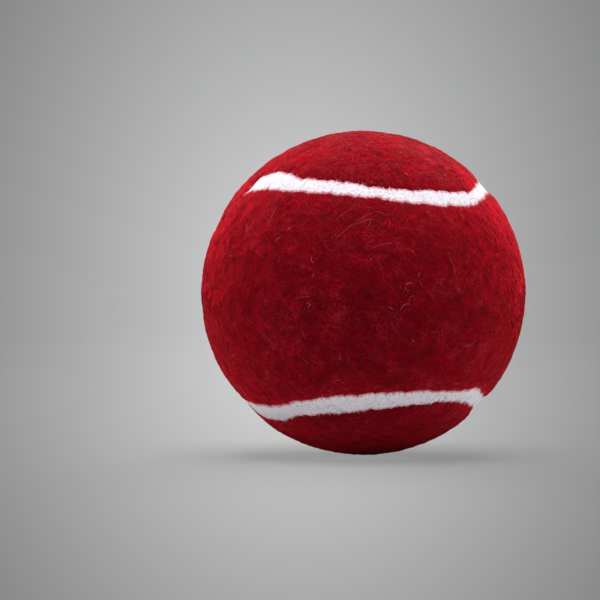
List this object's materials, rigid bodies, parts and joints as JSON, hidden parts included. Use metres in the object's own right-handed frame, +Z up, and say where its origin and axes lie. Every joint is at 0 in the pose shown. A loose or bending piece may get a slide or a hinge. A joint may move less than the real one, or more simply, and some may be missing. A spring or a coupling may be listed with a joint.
{
  "type": "tennis ball",
  "caption": "Hollow rubber ball covered in red felt panels that interlock along a recessed white curved seam, for hitting, throwing and bouncing.",
  "frame": {"origin": "the ball's centre", "axes": "+Z up, square to the joint plane of the two rubber half-shells; -Y out through the middle of the front panel's waist, +Y out through the middle of the rear panel's waist; +X and -X out of the front panel's two lobes"},
  "size_m": [0.066, 0.066, 0.066],
  "materials": {
    "core_rubber": "matte moulded rubber",
    "joint_cement": "cured rubber cement",
    "adhesive_film": "cured rubber solution",
    "ground_cloth": "plain woven cloth, dyed through",
    "felt_nap": "raised and fulled wool and nylon nap",
    "seam_cement": "matte white cured seam cement"
  },
  "bodies": {
    "root": {"core_half_shell_upper": "core_rubber", "core_half_shell_lower": "core_rubber", "core_joint_cement": "joint_cement", "core_adhesive_film": "adhesive_film", "front_panel_cloth": "ground_cloth", "rear_panel_cloth": "ground_cloth", "front_panel_nap": "felt_nap", "rear_panel_nap": "felt_nap", "seam_cement": "seam_cement"}
  },
  "joints": []
}
